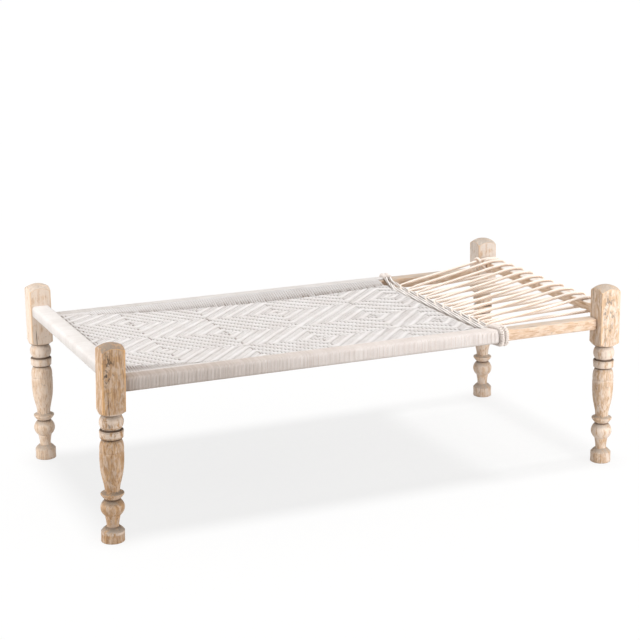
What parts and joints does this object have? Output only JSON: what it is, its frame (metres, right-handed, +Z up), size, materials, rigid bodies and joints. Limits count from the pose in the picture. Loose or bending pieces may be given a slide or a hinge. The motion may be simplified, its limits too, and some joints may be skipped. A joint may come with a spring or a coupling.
{
  "type": "rope bed",
  "caption": "Low bed on turned wooden legs, with a diamond-patterned woven cord surface tightened by a lacing cord at the foot end.",
  "frame": {"origin": "on the floor, under the middle of the bed", "axes": "+X towards the laced foot end, along the long rails; +Y towards the back; +Z up"},
  "size_m": [1.9234, 0.9784, 0.66],
  "materials": {
    "wood": "limed, sanded and waxed, with worn edges",
    "weave_cord": "undyed matte cotton cord",
    "lace_cord": "cream matte cotton cord"
  },
  "bodies": {
    "root": {"leg_head_front": "wood", "leg_head_back": "wood", "leg_foot_front": "wood", "leg_foot_back": "wood", "side_rail_front": "wood", "side_rail_back": "wood", "head_rail": "wood", "foot_rail": "wood", "weft_wrap_front": "weave_cord", "weft_wrap_back": "weave_cord", "warp_wrap_head": "weave_cord", "woven_panel": "weave_cord", "foot_rope": "weave_cord", "tension_cord": "lace_cord"}
  },
  "joints": []
}
